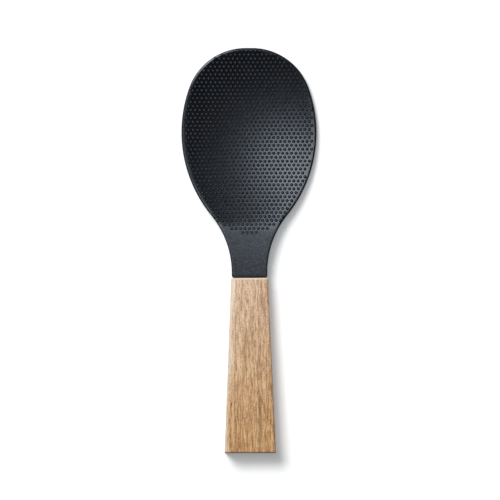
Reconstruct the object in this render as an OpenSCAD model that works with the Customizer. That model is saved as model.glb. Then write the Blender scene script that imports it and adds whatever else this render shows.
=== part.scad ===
// Rice paddle: a dished, bumpy nylon head glued into a tapered wooden handle.
// It lies on its back: +Y runs towards the tip, +Z up, and z = 0 is the surface it rests on.

/* [Head outline] */
// From the end of the wood to the tip of the blade
head_length = 126.2; // [112:0.1:140]
// Width of the blade at its widest place
blade_w = 74.2; // [64:0.1:84]
// From the end of the wood to the widest place of the blade
widest_y = 79.8; // [72:0.1:88]
// Radius of the two long sides
side_r = 72; // [60:0.5:85]
// Length of the straight piece across the tip
tip_flat = 3.5; // [0:0.1:10]
// Width of the neck where it meets the wood
neck_w = 19.6; // [15:0.1:20]
// Length of the neck before it starts to flare
neck_straight = 3; // [1:0.1:8]

/* [Head thickness] */
// Thickness of the blade
blade_t = 2.4; // [2:0.1:4]
// Radius of the hollow in the blade, the same lengthwise and crosswise
dish_r = 340; // [280:5:440]
// From the end of the wood to the lowest place of the blade
dish_y = 90; // [80:1:100]
// Height of the top of the neck where it meets the wood
crown_z = 9.9; // [8.5:0.1:10.5]
// From the end of the wood to where the top of the neck runs into the hollow
crown_end = 28; // [20:0.5:34]
// Height of the underside of the neck where it meets the wood
arch_z = 0.6; // [0.2:0.1:1.2]
// From the end of the wood to where the underside of the neck runs into the blade
arch_end = 42; // [34:0.5:50]

/* [Bumps] */
// Distance between the bumps of a row
bump_pitch = 2.45; // [2.2:0.01:6]
// Distance between rows
row_pitch = 2.165; // [2:0.005:6]
// Diameter of a bump at its foot
bump_d = 1.8; // [1:0.05:1.85]
// Height of a bump
bump_h = 0.5; // [0.44:0.02:0.8]
// From the tip to the middle of the first row
first_row = 1.6; // [1.2:0.1:5]
// Least distance from the long sides to the middle of a bump
side_band = 1.65; // [1.2:0.05:6]
// Least distance from the sides of the flare to the middle of a bump
flare_band = 1.3; // [1.2:0.05:6]
// Least distance from the rounded shoulders of the tip to the middle of a bump
tip_band = 1; // [1:0.05:5]
// From the end of the wood to the lower end of the bumps
field_y = 24.4; // [22:0.1:45]
// Radius at the lower end of the bumps
field_r = 21; // [10:0.5:30]

/* [Handle] */
// Length of the wood
handle_length = 96; // [70:0.5:130]
// Width at the neck
handle_top_w = 20.3; // [20:0.1:24]
// Width at the square-cut end
handle_end_w = 28.3; // [24:0.1:36]
// Thickness at the neck
handle_top_t = 11; // [10.5:0.1:14]
// Thickness at the square-cut end
handle_end_t = 16; // [12:0.1:20]
// Rounding of the four long edges
handle_edge_r = 1.3; // [0.5:0.1:2.5]
// Chamfer round both ends
handle_end_edge = 0.5; // [0.2:0.1:1]

/* [Joint] */
// Width of the tang
tang_w = 11.4; // [9:0.1:13]
// Thickness of the tang
tang_t = 5.4; // [4:0.1:6]
// Length of the tang inside the wood
tang_length = 46; // [30:0.5:55]
// Height of the middle of the tang
tang_z = 5.2; // [4.9:0.1:5.6]
// Depth of the glue grooves round the tang
groove_depth = 0.6; // [0.3:0.1:1]
// Length of a glue groove
groove_length = 3; // [1:0.5:5]
// Number of glue grooves
grooves = 4; // [0:1:6]
// Thickness of the glue round the tang
glue_t = 0.3; // [0.1:0.05:0.5]
// Thickness of the glue past the end of the tang
glue_end = 1; // [0.3:0.1:3]
// Width of the shadow gap between the neck and the wood
gap = 0.6; // [0.2:0.1:0.8]
// How far the seat inside the shadow gap stands back from the neck's sides
seat_inset = 1.2; // [0.6:0.1:2]

/* [Hidden] */

round_fn = 96;      // facets of small rounds in the preview
long_fn = 720;      // facets of the long arcs in the preview
bump_fn = 24;       // facets of a bump in the preview
outline_step = 2.5; // length of the straight steps along the outline's arcs
join_step = 2;      // angle past a join at which the next arc's first point stands
past = 5;           // how far cutting shapes run past what they cut
slice_t = 0.01;     // thickness of the slices that the handle is stretched between

// Outline: long side arcs, shoulder arcs tangent to them, neck arcs tangent to them
half_w = blade_w / 2;
half_neck = neck_w / 2;
side_x = half_w - side_r;
tip_reach = head_length - widest_y;
shoulder_x = tip_flat / 2;
shoulder_r = (side_r ^ 2 - (shoulder_x - side_x) ^ 2 - tip_reach ^ 2) / (2 * (side_r - tip_reach));
shoulder = [shoulder_x, head_length - shoulder_r];
flare_x = half_w - half_neck;
flare_y = widest_y - neck_straight;
neck_r = (flare_x ^ 2 + flare_y ^ 2) / (2 * flare_x) - side_r;
neck_centre = [half_neck + neck_r, neck_straight];
flare_angle = asin(flare_y / (side_r + neck_r));
shoulder_angle = asin((shoulder.y - widest_y) / (side_r - shoulder_r));
side_end = widest_y - side_r * sin(flare_angle);
side_top = widest_y + side_r * sin(shoulder_angle);

// Radius of the ball whose top is a bump
ball_r = ((bump_d / 2) ^ 2 + bump_h ^ 2) / (2 * bump_h);

// Height of the centre of the hollow
dish_z = dish_r + blade_t;

// Centre and radius of the arc through [0, z] that runs smoothly into the round of radius r at end_y
function seam(r, end_y) = [end_y, dish_z - sqrt(r ^ 2 - (end_y - dish_y) ^ 2)];
function outward(r, end_y) = (seam(r, end_y) - [dish_y, dish_z]) / r;
function blend_r(r, z, end_y) =
    let (reach = seam(r, end_y) - [0, z])
    -(reach * reach) / (2 * reach * outward(r, end_y));
function blend_centre(r, z, end_y) = seam(r, end_y) + blend_r(r, z, end_y) * outward(r, end_y);

// Height of the top of the head on its middle line
function top_z(y) =
    let (centre = blend_centre(dish_r, crown_z, crown_end))
    y < crown_end ? centre.y + sqrt(blend_r(dish_r, crown_z, crown_end) ^ 2 - (y - centre.x) ^ 2)
        : dish_z - sqrt(dish_r ^ 2 - (y - dish_y) ^ 2);

// Moves the part from the end of the wood to the middle of its length
module place() {
    translate([0, (handle_length - head_length) / 2, 0]) children();
}

// Points along an arc, anticlockwise from one angle to another
function arc(centre, r, from, to) =
    let (steps = ceil((to - from) * PI / 180 * r / outline_step))
    [for (i = [0:steps]) centre + r * [cos(from + (to - from) * i / steps), sin(from + (to - from) * i / steps)]];

function reversed(points) = [for (i = [len(points) - 1:-1:0]) points[i]];
function mirrored(points) = [for (p = points) [-p.x, p.y]];

// The right half of the head seen from above, from the neck to the tip
right_half = concat(
    [[half_neck, gap]],
    reversed(arc(neck_centre, neck_r, 180 - flare_angle, 180)),
    arc([side_x, widest_y], side_r, join_step - flare_angle, shoulder_angle),
    arc(shoulder, shoulder_r, shoulder_angle + join_step, 90)
);

module outline() {
    polygon(concat(right_half, reversed(mirrored(right_half))));
}

// All that lies nearer to the turning axis than a surface that is round over the blade
// and leaves it at end_y to reach height z at the neck; the axis is the line x = 0
module nearer_than(r, z, end_y) {
    centre = blend_centre(r, z, end_y);
    intersection() {
        translate([0, dish_y]) circle(r, $fn = long_fn);
        translate([0, end_y]) square([2 * r, r]);
    }
    difference() {
        translate([0, -past]) square([dish_z, end_y + past]);
        translate([dish_z - centre.y, centre.x]) circle(blend_r(r, z, end_y), $fn = long_fn);
    }
}

// The head seen from the side, between the underside and the top
module side_profile() {
    intersection() {
        difference() {
            nearer_than(dish_r + blade_t, arch_z, arch_end);
            nearer_than(dish_r, crown_z, crown_end);
        }
        translate([dish_z / 2, gap]) square([dish_z, head_length + past]);
    }
}

// The head without bumps: its side profile turned about a line high above, cut to the outline
module blade() {
    swing = 2 * asin((half_w + past) / dish_r);
    intersection() {
        linear_extrude(dish_z / 4) outline();
        translate([0, 0, dish_z])
            rotate([0, 90, 90])
            rotate([0, 0, -swing / 2])
            rotate_extrude(angle = swing, $fn = long_fn) side_profile();
    }
}

// Whether a bump may stand at [x, y], by its distance to the outline and to the lower end
function on_field(x, y) =
    let (tip = norm([max(abs(x) - shoulder_x, 0), y - shoulder.y]) <= shoulder_r - tip_band)
    let (side = norm([abs(x) - side_x, y - widest_y]) <= side_r - side_band)
    let (flare = norm([abs(x) - neck_centre.x, y - neck_centre.y]) >= neck_r + flare_band)
    y >= field_y + x ^ 2 / (2 * field_r) && (y > side_top ? tip : y > side_end ? side : flare);

function row_y(row) = head_length - first_row - row * row_pitch;
rows = floor((head_length - first_row - field_y) / row_pitch);
columns = ceil(half_w / bump_pitch);

// One bump: the top of a ball sunk in the blade with its middle at [x, y]
module bump(x, y) {
    height = dish_z - sqrt((dish_z - top_z(y)) ^ 2 - x ^ 2);
    translate([x, y, height + bump_h - ball_r]) sphere(ball_r, $fn = bump_fn);
}

// The staggered field of bumps
module bumps() {
    for (row = [0:rows], column = [-columns:columns]) {
        x = (column + (row % 2 == 0 ? 0.5 : 0)) * bump_pitch;
        if (on_field(x, row_y(row))) bump(x, row_y(row));
    }
}

// A bar with round sides that runs from y to y - length at the height of the tang
module bar(w, t, y, length) {
    translate([0, y, tang_z])
        rotate([90, 0, 0])
        linear_extrude(length)
        union() {
            square([w - t, t], center = true);
            translate([(w - t) / 2, 0]) circle(d = t, $fn = round_fn);
            translate([(t - w) / 2, 0]) circle(d = t, $fn = round_fn);
        }
}

// The tang: a slim core with full-size lands between the glue grooves
module tang() {
    land = (tang_length - grooves * groove_length) / (grooves + 1);
    bar(tang_w - 2 * groove_depth, tang_t - 2 * groove_depth, gap + 1, tang_length + gap + 1);
    for (i = [0:grooves])
        bar(tang_w, tang_t, -i * (land + groove_length), land);
}

// The slot in the wood
module slot() {
    bar(tang_w + 2 * glue_t, tang_t + 2 * glue_t, 0, tang_length + glue_end);
}

// The small step that seats on the end of the wood inside the shadow gap
module seat() {
    translate([-half_neck + seat_inset, 0, arch_z + seat_inset])
        cube([neck_w - 2 * seat_inset, gap + 1, crown_z - arch_z - 2 * seat_inset]);
}

// A thin slice of the handle at the given distance from the neck
module handle_slice(distance, inset) {
    share = distance / handle_length;
    w = handle_top_w + (handle_end_w - handle_top_w) * share;
    t = handle_top_t + (handle_end_t - handle_top_t) * share;
    translate([0, slice_t / 2 - distance, t / 2])
        rotate([90, 0, 0])
        linear_extrude(slice_t)
        offset(r = handle_edge_r - inset, $fn = 32)
        square([w - 2 * handle_edge_r, t - 2 * handle_edge_r], center = true);
}

module head() {
    color([0.22, 0.24, 0.26])
    place() {
        blade();
        bumps();
        seat();
        tang();
    }
}

module handle() {
    color("burlywood")
    place()
    difference() {
        hull() {
            handle_slice(slice_t / 2, handle_end_edge);
            handle_slice(handle_end_edge, 0);
            handle_slice(handle_length - handle_end_edge, 0);
            handle_slice(handle_length - slice_t / 2, handle_end_edge);
        }
        slot();
    }
}

module glue_bond() {
    color("khaki")
    place()
    difference() {
        slot();
        tang();
    }
}

head();
handle();
glue_bond();
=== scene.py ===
import math

import bmesh
import bpy
from mathutils import Matrix, Vector


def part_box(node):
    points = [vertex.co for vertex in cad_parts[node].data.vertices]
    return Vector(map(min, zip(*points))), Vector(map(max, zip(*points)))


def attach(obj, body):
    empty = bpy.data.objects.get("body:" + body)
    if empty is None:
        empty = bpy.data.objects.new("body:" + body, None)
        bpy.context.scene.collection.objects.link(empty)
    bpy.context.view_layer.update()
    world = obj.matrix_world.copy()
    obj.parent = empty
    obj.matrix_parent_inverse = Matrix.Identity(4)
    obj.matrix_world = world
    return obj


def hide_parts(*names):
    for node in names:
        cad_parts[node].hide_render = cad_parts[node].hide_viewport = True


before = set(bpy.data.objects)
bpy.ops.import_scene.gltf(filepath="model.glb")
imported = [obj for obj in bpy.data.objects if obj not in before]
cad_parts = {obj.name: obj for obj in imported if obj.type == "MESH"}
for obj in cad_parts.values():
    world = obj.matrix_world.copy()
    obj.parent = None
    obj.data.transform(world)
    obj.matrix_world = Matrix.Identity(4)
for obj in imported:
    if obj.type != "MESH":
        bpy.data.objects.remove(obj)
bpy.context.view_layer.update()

# Sizes are in millimetres. On the head, y is measured from the end of the wood towards the tip.
mm = 0.001
headLow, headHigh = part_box("head")
woodLow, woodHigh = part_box("handle")
woodEnd = Vector((0, woodHigh.y, 0))


def inFrame(x, y, z):
    return Vector((x, y, z)) * mm + woodEnd


# Editing: everything is picked by its place

def selectOnly(piece, others=()):
    bpy.ops.object.select_all(action="DESELECT")
    for each in (piece, *others):
        each.select_set(True)
    bpy.context.view_layer.objects.active = piece


def startEdit(piece):
    selectOnly(piece)
    bpy.ops.object.mode_set(mode="EDIT")
    bpy.ops.mesh.select_mode(type="VERT")
    bpy.ops.mesh.select_all(action="DESELECT")


def stopEdit():
    bpy.ops.object.mode_set(mode="OBJECT")


def pick(piece, kind, wanted):  # selects the edges or faces that are wanted
    bpy.ops.mesh.select_all(action="DESELECT")
    bpy.ops.mesh.select_mode(type=kind)
    shape = bmesh.from_edit_mesh(piece.data)
    for element in shape.edges if kind == "EDGE" else shape.faces:
        if wanted(element):
            element.select_set(True)
    shape.select_flush_mode()
    bmesh.update_edit_mesh(piece.data)


def movePicked(piece, move):  # each selected point goes where move sends it
    shape = bmesh.from_edit_mesh(piece.data)
    for point in shape.verts:
        if point.select:
            point.co = move(point.co)
    shape.normal_update()
    bmesh.update_edit_mesh(piece.data)


def joinInto(piece, others):
    selectOnly(piece, others)
    bpy.ops.object.join()


def faceOutward(piece):
    startEdit(piece)
    bpy.ops.mesh.select_all(action="SELECT")
    bpy.ops.mesh.normals_make_consistent(inside=False)
    stopEdit()


def smoothCurves(piece):
    sharpFrom = math.radians(35)  # a steeper bend between two faces stays an edge
    selectOnly(piece)
    bpy.ops.object.shade_smooth_by_angle(angle=sharpFrom)


# Outline of the head seen from above: neck, flare, long side and rounded corner run into each other

outline = {
    "neckWidth": 19.6,
    "neckStraight": 3,   # before the flare starts
    "widestY": 79.8,
    "sideRadius": 72,
    "tipFlat": 3.5,      # straight piece across the tip
}

headLength = (headHigh.y - woodEnd.y) / mm
halfWidth = (headHigh.x - headLow.x) / 2 / mm
halfNeck = outline["neckWidth"] / 2
sideRadius = outline["sideRadius"]
sideCentre = Vector((halfWidth - sideRadius, outline["widestY"]))
tipReach = headLength - outline["widestY"]
cornerX = outline["tipFlat"] / 2
cornerRadius = ((sideRadius ** 2 - (cornerX - sideCentre.x) ** 2 - tipReach ** 2)
                / (2 * (sideRadius - tipReach)))
cornerCentre = Vector((cornerX, headLength - cornerRadius))
flareX = halfWidth - halfNeck
flareY = outline["widestY"] - outline["neckStraight"]
flareRadius = (flareX ** 2 + flareY ** 2) / (2 * flareX) - sideRadius
flareCentre = Vector((halfNeck + flareRadius, outline["neckStraight"]))
flareAngle = math.asin(flareY / (sideRadius + flareRadius))
cornerAngle = math.asin((cornerCentre.y - sideCentre.y) / (sideRadius - cornerRadius))
sideStart = sideCentre.y - sideRadius * math.sin(flareAngle)
sideStop = sideCentre.y + sideRadius * math.sin(cornerAngle)


def onArc(centre, radius, angle):
    return centre + radius * Vector((math.cos(angle), math.sin(angle)))


def nearestEdge(x, y):  # the nearest place of the outline, and the way out of the head there
    side = math.copysign(1, x)
    spot = Vector((abs(x), y))
    angle = math.atan2(y - sideCentre.y, spot.x - sideCentre.x)
    if angle > cornerAngle and spot.x <= cornerX:
        edge, way = Vector((spot.x, headLength)), Vector((0, 1))
    elif angle > cornerAngle:
        way = (spot - cornerCentre).normalized()
        edge = cornerCentre + way * cornerRadius
    elif angle > -flareAngle:
        way = (spot - sideCentre).normalized()
        edge = sideCentre + way * sideRadius
    elif y > outline["neckStraight"]:
        way = (flareCentre - spot).normalized()
        edge = flareCentre - way * flareRadius
    else:
        edge, way = Vector((halfNeck, y)), Vector((1, 0))
    return Vector((side * edge.x, edge.y)), Vector((side * way.x, way.y))


# Heights of the head: a ball-shaped hollow that runs into the crowned neck, and the same from below

blade = {
    "thickness": 2.4,
    "hollowRadius": 340,
    "lowestY": 90,
    "neckTop": 9.9,
    "crownEnd": 28,        # where the crown of the neck runs into the hollow
    "neckUnderside": 0.6,
    "archEnd": 42,         # where the arch under the neck runs into the blade
    "rimRadius": 1.05,
    "rimSteps": 5,
    "columns": 28,
    "rows": 80,
    "gridCorner": 48,      # angle of the tip's corner at which a corner of the grid stands
    "weld": 0.002,         # points nearer than this are made one
}

hollowZ = blade["hollowRadius"] + blade["thickness"]


def heightOnMiddle(y, radius, neckZ, endY):
    slope = endY - blade["lowestY"]
    endZ = hollowZ - math.sqrt(radius ** 2 - slope ** 2)
    if y >= endY:
        return hollowZ - math.sqrt(radius ** 2 - (y - blade["lowestY"]) ** 2)
    reach = Vector((endY, endZ - neckZ))
    outward = Vector((slope, endZ - hollowZ)) / radius
    bend = -reach.length_squared / (2 * reach.dot(outward))
    middle = Vector((endY, endZ)) + bend * outward
    return middle.y + math.sqrt(bend ** 2 - (y - middle.x) ** 2)


def topHeight(x, y):
    middle = heightOnMiddle(y, blade["hollowRadius"], blade["neckTop"], blade["crownEnd"])
    return hollowZ - math.sqrt((hollowZ - middle) ** 2 - x ** 2)


def underHeight(x, y):
    middle = heightOnMiddle(y, hollowZ, blade["neckUnderside"], blade["archEnd"])
    return hollowZ - math.sqrt((hollowZ - middle) ** 2 - x ** 2)


# The neck's end: a softened edge, a seat that stands back, and the tang glued into the wood

joint = {
    "gap": 0.6,
    "neckEdge": 0.3,
    "seatInset": 1.2,    # above and below
    "seatSideInset": 0.6,
    "tangWidth": 11.4,
    "tangThickness": 5.4,
    "tangLength": 46,
    "tangHeight": 5.2,
    "grooves": 4,
    "grooveLength": 3,
    "grooveDepth": 0.6,
    "glue": 0.3,
    "glueEnd": 1,
}


def sidePlace(share):  # on the right edge, from the neck's end (0) to the corner of the grid (1)
    start = joint["gap"] + joint["neckEdge"]
    cornerTurn = math.radians(blade["gridCorner"]) - cornerAngle
    straight = outline["neckStraight"] - start
    sideLength = sideRadius * (flareAngle + cornerAngle)
    walk = share * (straight + flareRadius * flareAngle + sideLength + cornerRadius * cornerTurn)
    if walk <= straight:
        return Vector((halfNeck, start + walk))
    walk -= straight
    if walk <= flareRadius * flareAngle:
        return onArc(flareCentre, flareRadius, math.pi - walk / flareRadius)
    walk -= flareRadius * flareAngle
    if walk <= sideLength:
        return onArc(sideCentre, sideRadius, walk / sideRadius - flareAngle)
    walk -= sideLength
    return onArc(cornerCentre, cornerRadius, cornerAngle + walk / cornerRadius)


def tipPlace(share):  # across the tip, from the middle (0) to the right corner of the grid (1)
    turn = math.pi / 2 - math.radians(blade["gridCorner"])
    walk = share * (cornerX + cornerRadius * turn)
    if walk <= cornerX:
        return Vector((walk, headLength))
    return onArc(cornerCentre, cornerRadius, math.pi / 2 - (walk - cornerX) / cornerRadius)


def insideRim(spot):
    edge, way = nearestEdge(spot.x, spot.y)
    return edge - way * blade["rimRadius"]


def layGrid(piece, height):  # spreads a flat grid inside the rim, then lifts it to its height
    tipCorner = insideRim(sidePlace(1))
    for point in piece.data.vertices:
        across, along = 2 * point.co.x, point.co.y + 0.5
        turned = math.copysign(1, across)
        tip = insideRim(tipPlace(abs(across)))
        side = insideRim(sidePlace(along))
        x = side.x * abs(across) + along * (tip.x - tipCorner.x * abs(across))
        y = side.y + along * (tip.y - tipCorner.y)
        point.co = inFrame(turned * x, y, height(x, y))


def makeSurface(name, height):
    bpy.ops.mesh.primitive_grid_add(x_subdivisions=blade["columns"], y_subdivisions=blade["rows"], size=1)
    piece = bpy.context.object
    piece.name = name
    layGrid(piece, height)
    return piece


def atNeckEnd(edge):
    margin = 0.01
    limit = inFrame(0, joint["gap"] + joint["neckEdge"] + margin, 0).y
    return all(point.co.y < limit for point in edge.verts)


def roundRim(piece):  # rolls the edge over from the top to the underside
    radius, steps = blade["rimRadius"], blade["rimSteps"]
    quarter = [math.pi / 2 * step / steps for step in range(steps + 1)]
    turns = [(angle, topHeight, -1) for angle in quarter[1:]]
    turns += [(angle, underHeight, 1) for angle in reversed(quarter)]
    pick(piece, "EDGE", lambda edge: edge.is_boundary and not atNeckEnd(edge))
    for angle, height, upward in turns:
        def rolled(co):
            spot = (co - woodEnd) / mm
            edge, way = nearestEdge(spot.x, spot.y)
            place = edge - way * radius * (1 - math.sin(angle))
            lift = upward * radius * (1 - math.cos(angle))
            return inFrame(place.x, place.y, height(place.x, place.y) + lift)
        bpy.ops.mesh.extrude_edges_move()
        movePicked(piece, rolled)


# Where the ray from the middle through x, z leaves a bar with round sides
def onStadium(x, z, width, thickness):
    radius, flat = thickness / 2, (width - thickness) / 2
    if abs(z) > 1e-9 and abs(x) * radius / abs(z) <= flat:
        return x * radius / abs(z), math.copysign(radius, z)
    along = flat * abs(x)
    length = x * x + z * z
    reach = (along + math.sqrt(along ** 2 - length * (flat ** 2 - radius ** 2))) / length
    return x * reach, z * reach


def extrudeTo(piece, y, narrower=0, thinner=0):  # pulls the open end of the neck out to y
    bpy.ops.mesh.extrude_edges_move()
    shape = bmesh.from_edit_mesh(piece.data)
    picked = [point for point in shape.verts if point.select]
    lowZ, highZ = min(p.co.z for p in picked), max(p.co.z for p in picked)
    halfX = max(p.co.x for p in picked)
    middle, halfZ = (lowZ + highZ) / 2, (highZ - lowZ) / 2
    level = inFrame(0, y, 0).y
    for point in picked:
        point.co.x *= 1 - narrower * mm / halfX
        point.co.z = middle + (point.co.z - middle) * (1 - thinner * mm / halfZ)
        point.co.y = level
    bmesh.update_edit_mesh(piece.data)


def extrudeTang(piece, y, inset):
    bpy.ops.mesh.extrude_edges_move()

    def ontoBar(co):
        spot = (co - woodEnd) / mm
        x, z = onStadium(spot.x, spot.z - joint["tangHeight"],
                         joint["tangWidth"] - 2 * inset, joint["tangThickness"] - 2 * inset)
        return inFrame(x, y, z + joint["tangHeight"])
    movePicked(piece, ontoBar)


def finishNeck(piece):
    pick(piece, "EDGE", lambda edge: edge.is_boundary)
    radius, done = joint["neckEdge"], 0
    for angle in (math.radians(30), math.radians(60), math.radians(90)):
        drawn = radius * (1 - math.cos(angle))
        extrudeTo(piece, joint["gap"] + radius * (1 - math.sin(angle)), drawn - done, drawn - done)
        done = drawn
    extrudeTo(piece, joint["gap"], joint["seatSideInset"] - radius, joint["seatInset"] - radius)
    extrudeTo(piece, 0)
    land = (joint["tangLength"] - joint["grooves"] * joint["grooveLength"]) / (joint["grooves"] + 1)
    y, depth = 0, joint["grooveDepth"]
    extrudeTang(piece, y, 0)
    for groove in range(joint["grooves"]):
        y -= land
        extrudeTang(piece, y, 0)
        extrudeTang(piece, y, depth)
        y -= joint["grooveLength"]
        extrudeTang(piece, y, depth)
        extrudeTang(piece, y, 0)
    extrudeTang(piece, -joint["tangLength"], 0)
    bpy.ops.mesh.edge_face_add()


def makeHead():
    head = makeSurface("headShell", topHeight)
    under = makeSurface("underside", underHeight)
    startEdit(head)
    roundRim(head)
    stopEdit()
    joinInto(head, [under])
    startEdit(head)
    bpy.ops.mesh.select_all(action="SELECT")
    bpy.ops.mesh.remove_doubles(threshold=blade["weld"] * mm)  # the rim meets the underside
    finishNeck(head)
    stopEdit()
    faceOutward(head)
    return head


# Bumps: a staggered field of low domes

bumps = {
    "pitch": 2.45,
    "rowPitch": 2.165,
    "width": 1.8,
    "height": 0.5,
    "sunk": 0.5,         # how far the foot goes into the blade, so that it stays covered at the rounded rim
    "sides": 12,
    "rings": [0.8, 0.49],  # shares of the width
    "firstRow": 1.6,     # from the tip
    "sideBand": 1.65,    # least distances from the outline to the middle of a bump
    "flareBand": 1.3,
    "tipBand": 1,
    "fieldY": 24.4,      # lower end of the field on the middle line
    "fieldRadius": 21,   # how quickly the lower end rises to both sides
}


def onField(x, y):
    if y > sideStop:
        band = bumps["tipBand"]
    else:
        band = bumps["sideBand"] if y > sideStart else bumps["flareBand"]
    edge, way = nearestEdge(x, y)
    inside = (edge - Vector((x, y))).dot(way) >= band - 1e-6
    return inside and y >= bumps["fieldY"] + x ** 2 / (2 * bumps["fieldRadius"])


def makeBump(skin, highlightCaps):
    radius, height = bumps["width"] / 2, bumps["height"]
    ball = (radius ** 2 + height ** 2) / (2 * height)
    bpy.ops.mesh.primitive_circle_add(vertices=bumps["sides"], radius=radius * mm, fill_type="NGON",
                                      location=(0, 0, -bumps["sunk"] * mm))
    bump = bpy.context.object
    bpy.ops.object.transform_apply(location=True)
    startEdit(bump)
    bpy.ops.mesh.select_all(action="SELECT")
    wide, low = radius, -bumps["sunk"]
    for share in [1] + bumps["rings"]:
        narrow = radius * share
        high = height - ball + math.sqrt(ball ** 2 - narrow ** 2)
        bpy.ops.mesh.extrude_region_move(TRANSFORM_OT_translate={"value": (0, 0, (high - low) * mm)})
        bpy.ops.transform.resize(value=(narrow / wide, narrow / wide, 1), center_override=(0, 0, high * mm))
        wide, low = narrow, high
    bpy.ops.mesh.poke(offset=(height - low) * mm)
    stopEdit()
    faceOutward(bump)
    for material in (skin, highlightCaps):
        bump.data.materials.append(material)
    for face in bump.data.polygons:
        face.material_index = 1 if face.center.z > low * mm else 0  # the cap gets the paler, rougher material: a painted highlight
    return bump


def makeBumps(bump):
    rowCount = math.floor((headLength - bumps["firstRow"] - bumps["fieldY"]) / bumps["rowPitch"]) + 1
    columnCount = math.ceil(halfWidth / bumps["pitch"])
    copies = []
    for row in range(rowCount):
        y = headLength - bumps["firstRow"] - row * bumps["rowPitch"]
        for column in range(-columnCount, columnCount + 1):
            x = (column + (0.5 if row % 2 == 0 else 0)) * bumps["pitch"]
            if not onField(x, y):
                continue
            step = 0.1  # the blade's slope is taken between points this far to each side
            normal = Vector((topHeight(x - step, y) - topHeight(x + step, y),
                             topHeight(x, y - step) - topHeight(x, y + step), 2 * step))
            copy = bump.copy()
            copy.data = bump.data.copy()
            copy.data.transform(Matrix.Translation(inFrame(x, y, topHeight(x, y)))
                                @ normal.to_track_quat("Z", "Y").to_matrix().to_4x4())
            bpy.context.scene.collection.objects.link(copy)
            copies.append(copy)
    bpy.data.objects.remove(bump)
    print("bumps:", len(copies))
    return copies


# Handle: a tapered block of wood, wider and thicker towards its square-cut end

handle = {
    "neckWidth": 20.3,
    "neckThickness": 11,
    "edgeRadius": 1.3,   # the four long edges
    "endEdge": 0.5,      # round both ends
    "edgeSegments": 6,
    "endSegments": 3,
    "slotSegments": 8,   # a round side of the slot
}


def makeHandle():
    size, middle = woodHigh - woodLow, (woodHigh + woodLow) / 2
    bpy.ops.mesh.primitive_cube_add(size=1, location=middle, scale=size)
    block = bpy.context.object
    block.name = "handleBlock"
    bpy.ops.object.transform_apply(location=True, rotation=True, scale=True)
    startEdit(block)
    pick(block, "FACE", lambda face: face.normal.y > 0.9)
    neckShare = (handle["neckWidth"] * mm / size.x, 1, handle["neckThickness"] * mm / size.z)
    bpy.ops.transform.resize(value=neckShare, center_override=(0, woodHigh.y, woodLow.z))
    pick(block, "EDGE", lambda edge: abs(edge.verts[0].co.y - edge.verts[1].co.y) > size.y / 2)
    bpy.ops.mesh.bevel(offset=handle["edgeRadius"] * mm, segments=handle["edgeSegments"], affect="EDGES",
                       clamp_overlap=False)
    margin = 0.01 * mm
    for end in (woodLow.y, woodHigh.y):
        pick(block, "EDGE", lambda edge: all(abs(point.co.y - end) < margin for point in edge.verts))
        bpy.ops.mesh.bevel(offset=handle["endEdge"] * mm, segments=handle["endSegments"], affect="EDGES",
                           clamp_overlap=False)
    stopEdit()
    cutSlot(block)
    faceOutward(block)
    return block


def cutSlot(block):  # the slot has round sides and leaves room for the glue round the tang
    width = (joint["tangWidth"] + 2 * joint["glue"]) * mm
    thickness = (joint["tangThickness"] + 2 * joint["glue"]) * mm
    depth = (joint["tangLength"] + joint["glueEnd"]) * mm
    proud = 2 * mm  # the cutter stands out of the wood
    middle = inFrame(0, 0, joint["tangHeight"]) + Vector((0, (proud - depth) / 2, 0))
    bpy.ops.mesh.primitive_cube_add(size=1, location=middle, scale=(width, depth + proud, thickness))
    cutter = bpy.context.object
    bpy.ops.object.transform_apply(location=True, rotation=True, scale=True)
    startEdit(cutter)
    pick(cutter, "EDGE", lambda edge: abs(edge.verts[0].co.y - edge.verts[1].co.y) > depth / 2)
    rounding = thickness * 0.499  # just less than half, so that the rounded edges of a side don't meet
    bpy.ops.mesh.bevel(offset=rounding, segments=handle["slotSegments"], affect="EDGES")
    stopEdit()
    cut = block.modifiers.new("slot", "BOOLEAN")
    cut.operation, cut.solver, cut.object = "DIFFERENCE", "EXACT", cutter
    selectOnly(block)
    bpy.ops.object.modifier_apply(modifier=cut.name)
    bpy.data.objects.remove(cutter)


# Materials

def hexColour(code):  # sRGB hex to the linear colour that a socket takes
    channels = [int(code[i:i + 2], 16) / 255 for i in (1, 3, 5)]
    return [c / 12.92 if c <= 0.04045 else ((c + 0.055) / 1.055) ** 2.4 for c in channels] + [1]


def setNode(tree, node, settings):  # each is an attribute, an input's value or the output that feeds it
    for name, value in settings.items():
        if isinstance(value, bpy.types.NodeSocket):
            tree.links.new(value, node.inputs[name])
        elif isinstance(name, int) or name in node.inputs:
            node.inputs[name].default_value = value
        else:
            setattr(node, name, value)


def addNode(tree, kind, settings, stops=()):  # stops are the places and hex colours of a colour ramp
    node = tree.nodes.new(kind)
    setNode(tree, node, settings)
    if stops:
        ramp = node.color_ramp.elements
        while len(ramp) < len(stops):
            ramp.new(0.5)
        for element, (place, colour) in zip(ramp, stops):
            element.position = place
            element.color = hexColour(colour)
    return node


def newMaterial(name):
    material = bpy.data.materials.new(name)
    material.use_nodes = True
    return material, material.node_tree, material.node_tree.nodes["Principled BSDF"]


def millimetres(tree, unit=(1, 1, 1)):  # the piece's own coordinates, counted in units of so many mm
    coordinates = addNode(tree, "ShaderNodeTexCoord", {}).outputs["Object"]
    return addNode(tree, "ShaderNodeMapping", {"Scale": [1 / mm / size for size in unit],
                                               "Vector": coordinates}).outputs["Vector"]


def dress(piece, material):
    piece.data.materials.clear()
    piece.data.materials.append(material)


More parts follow.
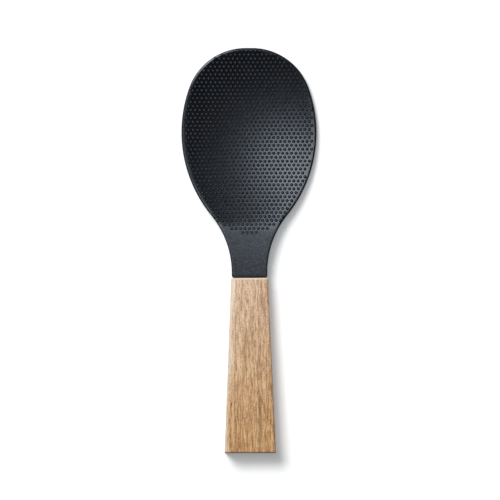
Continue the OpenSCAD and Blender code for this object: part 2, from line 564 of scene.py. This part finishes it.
nylon = {
    "tones": ("#07090c", "#0b0d11"),
    "capHighlightTones": ("#1c1f24", "#22262b"),  # the caps of the bumps, painted paler: a painted highlight
    "toneStops": (0.3, 0.75),
    "toneLength": 16.67,     # mm from a dark to a pale place
    # pale speckles on the neck: painted sheen
    "speckle": "#31363d",
    "sheenSpeckleStops": (0.46, 0.6),
    "shine": 0.65,
    "tint": "#e5f0ff",
    "ior": 1.53,
    "bladeRoughness": 0.24,
    "capRoughness": 0.55,
    "neckRoughness": 0.56,
    "unevenness": 0.03,      # how far the grain moves the roughness up and down
    "unevenStops": (0.3, 0.7),
    "polishedFrom": 21,      # mm from the wood: the mould is polished from here to where the bumps are
    "polishedTo": 34,
    "grain": 0.7,            # mm from speckle to speckle
    "bladeGrain": 0.006,     # depth in mm
    "neckGrain": 0.05,
}


def makeNylon(name, tones, bladeRoughness):
    # Injection-moulded nylon: the spark-eroded mould leaves a fine matt grain on the neck, and the working
    # face is polished so that rice lets go. On the neck the grain's speckles are painted paler: a painted
    # sheen that stands for the highlights which the grain breaks up. The real grain is about 0.1 mm, which is
    # too fine to show, so it is drawn coarser.
    material, tree, shader = newMaterial(name)
    place = millimetres(tree)
    speckle = addNode(tree, "ShaderNodeTexNoise", {"Scale": 1 / nylon["grain"], "Detail": 3, "Roughness": 0.6,
                                                   "Vector": place}).outputs["Fac"]
    flow = addNode(tree, "ShaderNodeTexNoise", {"Scale": 1 / nylon["toneLength"], "Detail": 2,
                                                "Vector": place}).outputs["Fac"]
    tone = addNode(tree, "ShaderNodeValToRGB", {"Fac": flow}, list(zip(nylon["toneStops"], tones)))
    along = addNode(tree, "ShaderNodeSeparateXYZ", {"Vector": place}).outputs["Y"]
    neckEnd = woodEnd.y / mm
    eroded = addNode(tree, "ShaderNodeMapRange", {
        "interpolation_type": "SMOOTHSTEP", "Value": along, "From Min": neckEnd + nylon["polishedFrom"],
        "From Max": neckEnd + nylon["polishedTo"], "To Min": 1, "To Max": 0}).outputs["Result"]

    changes = {  # what each follows, from where to where, and what it is at both
        "sheenDots": (speckle, *nylon["sheenSpeckleStops"], 0, 1),
        "roughness": (eroded, 0, 1, bladeRoughness, nylon["neckRoughness"]),
        "uneven": (speckle, *nylon["unevenStops"], nylon["unevenness"], -nylon["unevenness"]),
        "depth": (eroded, 0, 1, nylon["bladeGrain"] * mm, nylon["neckGrain"] * mm),
    }
    result = {}
    for change, (follows, start, end, first, last) in changes.items():
        result[change] = addNode(tree, "ShaderNodeMapRange", {
            "interpolation_type": "SMOOTHSTEP", "Value": follows, "From Min": start, "From Max": end,
            "To Min": first, "To Max": last}).outputs["Result"]

    # painted sheen: pale speckles, only on the neck
    sheenDots = addNode(tree, "ShaderNodeMath", {"operation": "MULTIPLY", 0: eroded, 1: result["sheenDots"]})
    colour = addNode(tree, "ShaderNodeMix", {"data_type": "RGBA", 0: sheenDots.outputs["Value"],
                                             6: tone.outputs["Color"], 7: hexColour(nylon["speckle"])})
    gloss = addNode(tree, "ShaderNodeMath", {"operation": "ADD", 0: result["roughness"],
                                             1: result["uneven"]})
    grain = addNode(tree, "ShaderNodeBump", {"Strength": 1, "Height": speckle,
                                             "Distance": result["depth"]})
    setNode(tree, shader, {
        "Base Color": colour.outputs[2], "Roughness": gloss.outputs["Value"],
        "Normal": grain.outputs["Normal"], "IOR": nylon["ior"], "Specular IOR Level": nylon["shine"],
        "Specular Tint": hexColour(nylon["tint"])})
    return material


wood = {
    "neckTones": ("#b08862", "#d8b18e", "#f6d9bb"),  # dark, middle and pale fibres near the neck
    "shadedEndTones": ("#a5774a", "#d7a671", "#f3cb98"),   # and near the square end, darker and warmer: painted shade
    "toneStops": (0.41, 0.5, 0.59),
    "toneReach": 5,           # mm beyond the neck's end, where the change of tones starts
    "pore": "#6e4b2c",
    # dark colour of the fleck, and of the square end: its end grain and a painted shade along its rounded
    # edge
    "darkGrainAndShade": "#5b3d22",
    # pale colour of the painted highlights along the left edge and at the neck's end
    "paleHighlight": "#f8e6d0",
    "patterns": {             # mm across the grain, mm along it, and detail
        "bands": (3.333, 83.33, 2),
        "fibres": (0.625, 41.67, 1),
        "shortFibres": (0.4762, 4.762, 1),
        "specks": (0.4348, 0.5435, 1),
        "pores": (0.5882, 4.202, 1),
        "highlightBorder": (2.857, 35.71, 2),
    },
    "patternRoughness": 0.6,  # how much of the finer detail each has
    "figure": {               # how far each covers the bands and those before it
        "fibres": 0.85,
        "shortFibres": 0.4085,
        "specks": 0.29,
    },
    "waves": 1.2,             # mm that the border of the painted highlight strays to both sides
    "waveStops": (0.3, 0.7),
    "streak": (5.4, -74),     # mm: where the dark growth line runs, and where it fades in
    "fleck": (-10.2, -84.4),  # mm: a short dark fleck
    "fleckShape": (2, 0.8),   # how far it is squeezed across and along the grain
    "shows": {                # how strongly, and where it is gone and where it is whole, all but pores in mm
        "growthLine": (0.45, 1.3, 0.2),
        "growthStart": (1, 0, -8),
        # a pale band along the left edge: painted highlight
        "leftEdgeHighlight": (0.7, 3.4, 0.7),
        "pores": (0.4, 0.6, 0.68),
        "fleck": (0.8, 1.2, 0.5),
        # pale line along the wood's rounded edge at the neck: painted highlight
        "neckEnd": (0.9, 1.1, 0.5),
        # the square end and its rounded edge drawn darker: end grain, and painted shade
        "squareEnd": (0.8, 1, 0.4),
    },
    "poreDepth": 0.05,        # mm
    "poreRelief": 0.5,
    "roughness": 0.45,
    "ior": 1.45,
}


def makeWood():
    # Oiled acacia, planed and sanded along the grain: open pores cut lengthwise show as short dark dashes
    # among pale and dark fibres. The pores are about 0.2 mm wide, and are drawn about 0.5 mm wide to show.
    material, tree, shader = newMaterial("oiled acacia")
    place = millimetres(tree)
    axes = addNode(tree, "ShaderNodeSeparateXYZ", {"Vector": place})
    across, along = axes.outputs["X"], axes.outputs["Y"]
    low, high = woodLow.y / mm, woodHigh.y / mm
    patterns = {}
    for name, (width, length, detail) in wood["patterns"].items():
        patterns[name] = addNode(tree, "ShaderNodeTexNoise", {
            "Scale": 1, "Detail": detail, "Roughness": wood["patternRoughness"],
            "Vector": millimetres(tree, (width, length, width))}).outputs["Fac"]
    figure = patterns["bands"]
    for name, share in wood["figure"].items():
        figure = addNode(tree, "ShaderNodeMix", {"data_type": "FLOAT", 0: share, 2: figure,
                                                 3: patterns[name]}).outputs[0]
    tones = []
    for end in ("neckTones", "shadedEndTones"):
        ramp = addNode(tree, "ShaderNodeValToRGB", {"Fac": figure}, list(zip(wood["toneStops"], wood[end])))
        tones.append(ramp.outputs["Color"])
    # the tones darken towards the square end: painted shade
    towardsEnd = addNode(tree, "ShaderNodeMapRange", {
        "interpolation_type": "SMOOTHSTEP", "Value": along, "From Min": high + wood["toneReach"],
        "From Max": low})
    colour = addNode(tree, "ShaderNodeMix", {"data_type": "RGBA", 0: towardsEnd.outputs["Result"],
                                             6: tones[0], 7: tones[1]}).outputs[2]

    # Distances in mm from the growth line, from the slanting left edge, and from the fleck
    aside = addNode(tree, "ShaderNodeMath", {"operation": "SUBTRACT", 0: across, 1: wood["streak"][0]})
    fromStreak = addNode(tree, "ShaderNodeMath", {"operation": "ABSOLUTE", 0: aside.outputs["Value"]})
    slope = ((woodHigh.x - woodLow.x) / mm - handle["neckWidth"]) / 2 / (high - low)
    halfHere = addNode(tree, "ShaderNodeMath", {"operation": "MULTIPLY_ADD", 0: along, 1: -slope,
                                                2: handle["neckWidth"] / 2 + slope * high})
    fromLeft = addNode(tree, "ShaderNodeMath", {"operation": "ADD", 0: halfHere.outputs["Value"], 1: across})
    # the wavy border of the painted highlight along the left edge
    wave = addNode(tree, "ShaderNodeMapRange", {
        "interpolation_type": "SMOOTHSTEP", "Value": patterns["highlightBorder"], "To Min": -wood["waves"],
        "From Min": wood["waveStops"][0], "From Max": wood["waveStops"][1], "To Max": wood["waves"]})
    wavy = addNode(tree, "ShaderNodeMath", {"operation": "ADD", 0: fromLeft.outputs["Value"],
                                            1: wave.outputs["Result"]})
    wide, long = wood["fleckShape"]
    squeezed = addNode(tree, "ShaderNodeVectorMath", {"operation": "MULTIPLY", 0: place, 1: (wide, long, 0)})
    fromFleck = addNode(tree, "ShaderNodeVectorMath", {
        "operation": "DISTANCE", 0: squeezed.outputs["Vector"],
        1: (wide * wood["fleck"][0], long * wood["fleck"][1], 0)})

    follows = {  # what each follows, from which place, and to which side
        "growthLine": (fromStreak.outputs["Value"], 0, 1),
        "growthStart": (along, wood["streak"][1], 1),
        "leftEdgeHighlight": (wavy.outputs["Value"], 0, 1),
        "pores": (patterns["pores"], 0, 1),
        "fleck": (fromFleck.outputs["Value"], 0, 1),
        "neckEnd": (along, high, -1),
        "squareEnd": (along, low, 1),
    }
    shares = {}
    for name, (strength, gone, whole) in wood["shows"].items():
        value, start, side = follows[name]
        shares[name] = addNode(tree, "ShaderNodeMapRange", {
            "interpolation_type": "SMOOTHSTEP", "Value": value, "From Min": start + side * gone,
            "From Max": start + side * whole, "To Max": strength}).outputs["Result"]
    growth = addNode(tree, "ShaderNodeMath", {"operation": "MULTIPLY", 0: shares["growthLine"],
                                              1: shares["growthStart"]})
    layers = [(growth.outputs["Value"], "pore"), (shares["leftEdgeHighlight"], "paleHighlight"), (shares["pores"], "pore"),
              (shares["fleck"], "darkGrainAndShade"), (shares["neckEnd"], "paleHighlight"), (shares["squareEnd"], "darkGrainAndShade")]
    for share, tone in layers:
        colour = addNode(tree, "ShaderNodeMix", {"data_type": "RGBA", 0: share, 6: colour,
                                                 7: hexColour(wood[tone])}).outputs[2]

    relief = addNode(tree, "ShaderNodeBump", {
        "Strength": wood["poreRelief"], "Distance": wood["poreDepth"] * mm, "invert": True,
        "Height": shares["pores"]})
    setNode(tree, shader, {"Base Color": colour, "Normal": relief.outputs["Normal"],
                           "Roughness": wood["roughness"], "IOR": wood["ior"]})
    return material


glue = {
    "tones": ("#c2a66a", "#dcc894"),
    "toneStops": (0.35, 0.7),
    "cloud": 1.25,  # mm from cloud to cloud
    "roughness": 0.2,
}


def makeGlue():
    # Cured epoxy: clear amber, with a slight cloud from trapped air
    material, tree, shader = newMaterial("cured epoxy")
    cloud = addNode(tree, "ShaderNodeTexNoise", {"Scale": 1 / glue["cloud"], "Detail": 2,
                                                 "Vector": millimetres(tree)})
    tone = addNode(tree, "ShaderNodeValToRGB", {"Fac": cloud.outputs["Fac"]},
                   list(zip(glue["toneStops"], glue["tones"])))
    setNode(tree, shader, {"Base Color": tone.outputs["Color"], "Roughness": glue["roughness"]})
    return material


print("modelling the head")
head = makeHead()
skin = makeNylon("moulded nylon", nylon["tones"], nylon["bladeRoughness"])
# the caps of the bumps are painted paler, a painted highlight, and are also rougher
highlightCaps = makeNylon("moulded nylon, caps painted paler", nylon["capHighlightTones"], nylon["capRoughness"])
dress(head, skin)
joinInto(head, makeBumps(makeBump(skin, highlightCaps)))
smoothCurves(head)
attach(head, "root")
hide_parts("head")

print("modelling the handle")
handleBlock = makeHandle()
smoothCurves(handleBlock)
dress(handleBlock, makeWood())
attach(handleBlock, "root")
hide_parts("handle")

dress(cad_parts["glue_bond"], makeGlue())

# Studio: white floor, two soft lamps from the upper left, pale walls under a dark ceiling

studio = {
    "frameWidth": 274.4,     # mm of the floor that the picture shows
    "cameraHeight": 12000,
    "aim": (0.3, 0.22),      # middle of the picture, mm from the middle of the paddle
    "roll": -0.22,           # degrees
    "sensor": 36,
    "farthest": 20,          # metres that the camera sees
    "floorSize": 8,          # metres
    "lampDistance": 2,       # metres, which doesn't change a sun's light
    "lamps": {               # where from, degrees above the floor, degrees across, share of the light
        "key": ((-0.61, 0.79), 56, 26, 0.64),
        "top": ((-0.61, 0.79), 78.5, 12, 0.078),
    },
    "brightWall": 0.17,      # behind the lamps
    "darkWall": 0.05,        # opposite them
    "wallReach": 0.8,        # how far towards and away from the lamps the walls go on changing
    "ceiling": 0.015,
    "ceilingEdge": (0.65, 0.94),  # sine of the height at which the walls start to darken, and are dark
    "floorDrop": 0.02,       # mm, so that no face of the paddle lies in the floor's plane
    "paperGlow": 0.31,       # what the camera alone sees on top of the lit paper, which keeps the paper white
    "glowTone": "#f8fcff",
}


def makeFloor():
    bpy.ops.mesh.primitive_plane_add(size=studio["floorSize"], location=(0, 0, -studio["floorDrop"] * mm))
    floor = bpy.context.object
    floor.name = "floor"
    # White background paper: matt, without shine
    material, tree, shader = newMaterial("white paper")
    path = addNode(tree, "ShaderNodeLightPath", {})
    glow = addNode(tree, "ShaderNodeMath", {"operation": "MULTIPLY", 0: path.outputs["Is Camera Ray"],
                                            1: studio["paperGlow"]})
    setNode(tree, shader, {
        "Base Color": hexColour("#ffffff"), "Roughness": 1, "Specular IOR Level": 0,
        "Emission Color": hexColour(studio["glowTone"]), "Emission Strength": glow.outputs["Value"]})
    dress(floor, material)


def makeLamps():
    for name, ((side, along), above, across, share) in studio["lamps"].items():
        elevation = math.radians(above)
        towards = Vector((side * math.cos(elevation), along * math.cos(elevation), math.sin(elevation)))
        bpy.ops.object.light_add(type="SUN", location=towards * studio["lampDistance"])
        lamp = bpy.context.object
        lamp.name = name
        lamp.rotation_euler = towards.to_track_quat("Z", "Y").to_euler()
        lamp.data.angle = math.radians(across)
        lamp.data.energy = share * math.pi / math.sin(elevation)


def makeWalls():
    world = bpy.data.worlds.new("studio")
    bpy.context.scene.world = world
    world.use_nodes = True
    tree = world.node_tree
    direction = addNode(tree, "ShaderNodeTexCoord", {}).outputs["Generated"]
    height = addNode(tree, "ShaderNodeSeparateXYZ", {"Vector": direction})
    side = addNode(tree, "ShaderNodeVectorMath", {"operation": "DOT_PRODUCT", 0: direction,
                                                  1: (*studio["lamps"]["key"][0], 0)})
    walls = addNode(tree, "ShaderNodeMapRange", {
        "Value": side.outputs["Value"], "From Min": -studio["wallReach"], "From Max": studio["wallReach"],
        "To Min": studio["darkWall"], "To Max": studio["brightWall"]})
    darker, dark = studio["ceilingEdge"]
    light = addNode(tree, "ShaderNodeMapRange", {
        "interpolation_type": "SMOOTHSTEP", "Value": height.outputs["Z"], "From Min": darker,
        "From Max": dark, "To Min": walls.outputs["Result"], "To Max": studio["ceiling"]})
    setNode(tree, tree.nodes["Background"], {"Color": hexColour("#ffffff"),
                                             "Strength": light.outputs["Result"]})


def makeCamera():
    aimX, aimY = studio["aim"]
    bpy.ops.object.camera_add(location=(aimX * mm, aimY * mm, studio["cameraHeight"] * mm),
                              rotation=(0, 0, math.radians(studio["roll"])))
    camera = bpy.context.object
    camera.data.sensor_width = studio["sensor"]
    camera.data.lens = studio["sensor"] * studio["cameraHeight"] / studio["frameWidth"]
    camera.data.clip_end = studio["farthest"]
    bpy.context.scene.camera = camera


print("setting up the studio")
makeFloor()
makeLamps()
makeWalls()
makeCamera()
bpy.context.scene.view_settings.view_transform = "Standard"
